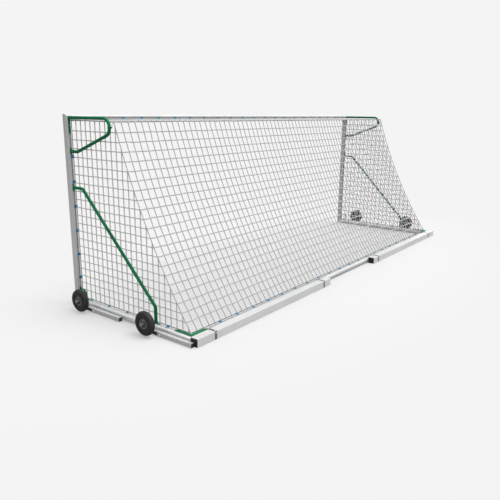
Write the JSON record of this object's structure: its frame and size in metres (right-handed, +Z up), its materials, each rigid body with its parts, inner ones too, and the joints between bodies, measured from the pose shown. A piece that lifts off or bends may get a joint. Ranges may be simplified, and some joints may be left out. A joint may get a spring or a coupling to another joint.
{
  "type": "soccer goal frame",
  "caption": "Free-standing mobile soccer goal: oval profile frame, sloping net on bent brackets, ballast boxes behind and lever wheels that lift it for moving.",
  "frame": {"origin": "centre of the goal's bounding box on the ground", "axes": "+X along the crossbar, +Y from the mouth to the rear, +Z up"},
  "size_m": [7.98, 2.338, 2.53],
  "materials": {
    "goal_profile": "satin, natural anodised",
    "corner_insert": "mill finish",
    "ballast_profile": "satin, natural anodised",
    "lever_tube": "satin",
    "green_steel": "gloss powder coat",
    "zinc_bolts": "zinc plated",
    "black_plastic": "matt moulded",
    "hook_blue": "matt moulded",
    "net_cord": "braided polypropylene cord",
    "ballast_iron": "rough",
    "clamp_steel": "satin",
    "wheel_arm": "satin",
    "rim": "satin",
    "tyre": "rubber"
  },
  "bodies": {
    "frame": {"crossbar": "goal_profile", "rear_ground_bar": "goal_profile", "right_post": "goal_profile", "right_side_ground_bar": "goal_profile", "right_top_corner_insert": "corner_insert", "right_rear_corner_insert": "corner_insert", "right_post_foot": "black_plastic", "right_net_bracket": "green_steel", "right_lower_brace": "green_steel", "right_base_knee": "green_steel", "right_rear_corner_plate": "green_steel", "right_ballast_box": "ballast_profile", "right_ballast_weight": "ballast_iron", "right_net_side": "net_cord", "left_post": "goal_profile", "left_side_ground_bar": "goal_profile", "left_top_corner_insert": "corner_insert", "left_rear_corner_insert": "corner_insert", "left_post_foot": "black_plastic", "left_net_bracket": "green_steel", "left_lower_brace": "green_steel", "left_base_knee": "green_steel", "left_rear_corner_plate": "green_steel", "left_ballast_box": "ballast_profile", "left_ballast_weight": "ballast_iron", "left_net_side": "net_cord", "frame_bolts": "zinc_bolts", "ballast_clamp_bolts": "zinc_bolts", "lever_pivot_bolts": "zinc_bolts", "ballast_box_plugs": "black_plastic", "ballast_clamps": "clamp_steel", "crossbar_net_hooks": "hook_blue", "post_net_hooks": "hook_blue", "side_bar_net_hooks": "hook_blue", "rear_bar_net_hooks": "hook_blue", "bracket_net_clips": "green_steel", "net_border_rope": "net_cord", "net_ridge_cord": "net_cord", "net_roof": "net_cord", "net_rear": "net_cord"},
    "right_front_lever": {"right_front_lever_arm": "lever_tube", "right_front_lever_plug": "black_plastic", "right_front_wheel_arm": "wheel_arm"},
    "right_front_wheel": {"right_front_rim": "rim", "right_front_tyre": "tyre"},
    "right_rear_lever": {"right_rear_lever_arm": "lever_tube", "right_rear_lever_plug": "black_plastic", "right_rear_wheel_arm": "wheel_arm"},
    "right_rear_wheel": {"right_rear_rim": "rim", "right_rear_tyre": "tyre"},
    "left_front_lever": {"left_front_lever_arm": "lever_tube", "left_front_lever_plug": "black_plastic", "left_front_wheel_arm": "wheel_arm"},
    "left_front_wheel": {"left_front_rim": "rim", "left_front_tyre": "tyre"},
    "left_rear_lever": {"left_rear_lever_arm": "lever_tube", "left_rear_lever_plug": "black_plastic", "left_rear_wheel_arm": "wheel_arm"},
    "left_rear_wheel": {"left_rear_rim": "rim", "left_rear_tyre": "tyre"}
  },
  "joints": [
    {"name": "right_front_lever_lift", "type": "hinge", "parent": "frame", "child": "right_front_lever", "pos_m": [3.8, -0.635, 0.03], "axis": [1, 0, 0], "range_deg": [0, 30]},
    {"name": "right_front_wheel_spin", "type": "hinge", "parent": "right_front_lever", "child": "right_front_wheel", "pos_m": [3.918, -0.783, 0.166], "axis": [1, 0, 0], "continuous": true},
    {"name": "right_rear_lever_lift", "type": "hinge", "parent": "frame", "child": "right_rear_lever", "pos_m": [3.8, 0.613, 0.03], "axis": [1, 0, 0], "range_deg": [0, 30]},
    {"name": "right_rear_wheel_spin", "type": "hinge", "parent": "right_rear_lever", "child": "right_rear_wheel", "pos_m": [3.918, 0.465, 0.166], "axis": [1, 0, 0], "continuous": true},
    {"name": "left_front_lever_lift", "type": "hinge", "parent": "frame", "child": "left_front_lever", "pos_m": [-3.8, -0.635, 0.03], "axis": [1, 0, 0], "range_deg": [0, 30]},
    {"name": "left_front_wheel_spin", "type": "hinge", "parent": "left_front_lever", "child": "left_front_wheel", "pos_m": [-3.918, -0.783, 0.166], "axis": [1, 0, 0], "continuous": true},
    {"name": "left_rear_lever_lift", "type": "hinge", "parent": "frame", "child": "left_rear_lever", "pos_m": [-3.8, 0.613, 0.03], "axis": [1, 0, 0], "range_deg": [0, 30]},
    {"name": "left_rear_wheel_spin", "type": "hinge", "parent": "left_rear_lever", "child": "left_rear_wheel", "pos_m": [-3.918, 0.465, 0.166], "axis": [1, 0, 0], "continuous": true}
  ]
}
